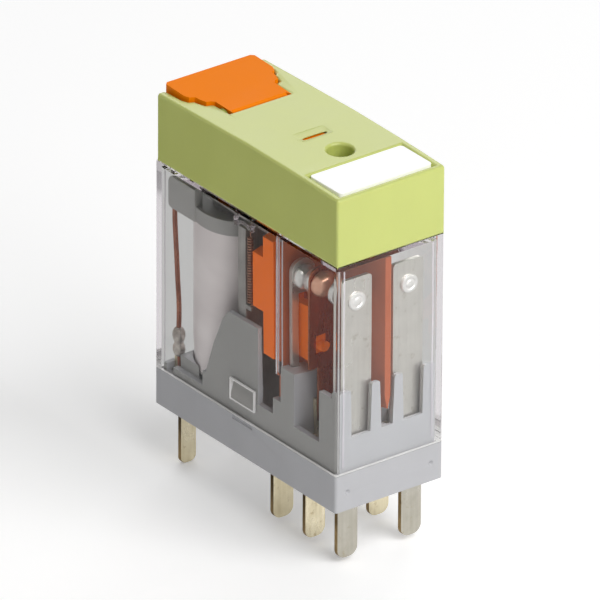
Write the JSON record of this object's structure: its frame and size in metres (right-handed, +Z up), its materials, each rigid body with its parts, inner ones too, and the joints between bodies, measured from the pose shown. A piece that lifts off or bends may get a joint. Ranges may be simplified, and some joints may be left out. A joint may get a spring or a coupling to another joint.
{
  "type": "plug-in relay",
  "caption": "Slim two-pole changeover plug-in relay: clear case over a grey base, blade pins, lime cap with an orange test lever, indicator lamp and white label plate.",
  "frame": {"origin": "centre of the base's underside, on the plane that seats on the socket", "axes": "+Z up from the pins to the cap, +X towards the contact end, +Y across the slim width"},
  "size_m": [0.0285, 0.0126, 0.0398],
  "materials": {
    "base_plastic": "moulded, light grey",
    "clear_plastic": "clear moulded plastic",
    "cap_plastic": "moulded, lime green",
    "label_plastic": "white",
    "lever_plastic": "moulded, orange",
    "card_plastic": "moulded, deep orange",
    "bobbin_plastic": "moulded, dark grey",
    "barrier_plastic": "moulded, terracotta",
    "tape": "thin film tape",
    "copper_wire": "enamelled copper",
    "soft_iron": "dull plated",
    "tinned_brass": "tinned",
    "contact_silver": "silver alloy",
    "spring_copper": "copper alloy leaf",
    "spring_wire": "bronze wire",
    "diode_glass": "glass body",
    "board_green": "circuit board",
    "lamp_lens": "tinted lens",
    "resistor_body": "lacquered"
  },
  "bodies": {
    "housing": {"base": "base_plastic", "case": "clear_plastic", "cap": "cap_plastic", "label_plate": "label_plastic", "bobbin": "bobbin_plastic", "coil_winding": "copper_wire", "coil_tape": "tape", "core": "soft_iron", "yoke": "soft_iron", "return_spring": "spring_wire", "barrier": "barrier_plastic", "protection_diode": "diode_glass", "led_board": "board_green", "indicator_led": "lamp_lens", "led_resistor": "resistor_body", "no_terminal_1": "tinned_brass", "nc_terminal_1": "tinned_brass", "com_terminal_1": "tinned_brass", "coil_terminal_1": "tinned_brass", "no_contact_1": "contact_silver", "nc_contact_1": "contact_silver", "coil_lead_1": "copper_wire", "led_wire_1": "tinned_brass", "no_terminal_2": "tinned_brass", "nc_terminal_2": "tinned_brass", "com_terminal_2": "tinned_brass", "coil_terminal_2": "tinned_brass", "no_contact_2": "contact_silver", "nc_contact_2": "contact_silver", "coil_lead_2": "copper_wire", "led_wire_2": "tinned_brass"},
    "armature_assembly": {"armature": "soft_iron", "card": "card_plastic", "indicator_flag": "lever_plastic"},
    "spring_1": {"moving_spring_1": "spring_copper", "moving_contact_1": "contact_silver"},
    "spring_2": {"moving_spring_2": "spring_copper", "moving_contact_2": "contact_silver"},
    "lever": {"test_lever": "lever_plastic"},
    "plunger": {"test_plunger": "lever_plastic"}
  },
  "joints": [
    {"name": "armature_rock", "type": "hinge", "parent": "housing", "child": "armature_assembly", "pos_m": [-0.00115, 0, 0.02342], "axis": [0, -1, 0], "range_deg": [0, 2.2], "stiffness_Nm_per_rad": 0.01, "springref_deg": -5.73, "deforming": ["return_spring"]},
    {"name": "spring_1_bend", "type": "hinge", "parent": "housing", "child": "spring_1", "pos_m": [0.0077, -0.0024, 0.0066], "axis": [0, 1, 0], "range_deg": [0, 3.5], "stiffness_Nm_per_rad": 0.004, "springref_deg": -1.72},
    {"name": "spring_2_bend", "type": "hinge", "parent": "housing", "child": "spring_2", "pos_m": [0.0077, 0.0024, 0.0066], "axis": [0, 1, 0], "range_deg": [0, 3.5], "stiffness_Nm_per_rad": 0.004, "springref_deg": -1.72},
    {"name": "lever_turn", "type": "hinge", "parent": "housing", "child": "lever", "pos_m": [-0.0072, 0, 0.0322], "axis": [0, 1, 0], "range_deg": [0, 90]},
    {"name": "plunger_slide", "type": "slide", "parent": "housing", "child": "plunger", "axis": [0, 0, -1], "range_m": [0, 0.0003]}
  ],
  "couplings": [
    {"joint": "spring_1_bend", "follows": "armature_rock", "ratio": 1.582},
    {"joint": "spring_2_bend", "follows": "armature_rock", "ratio": 1.582},
    {"joint": "plunger_slide", "follows": "lever_turn", "m_per_rad": 0.00019}
  ]
}
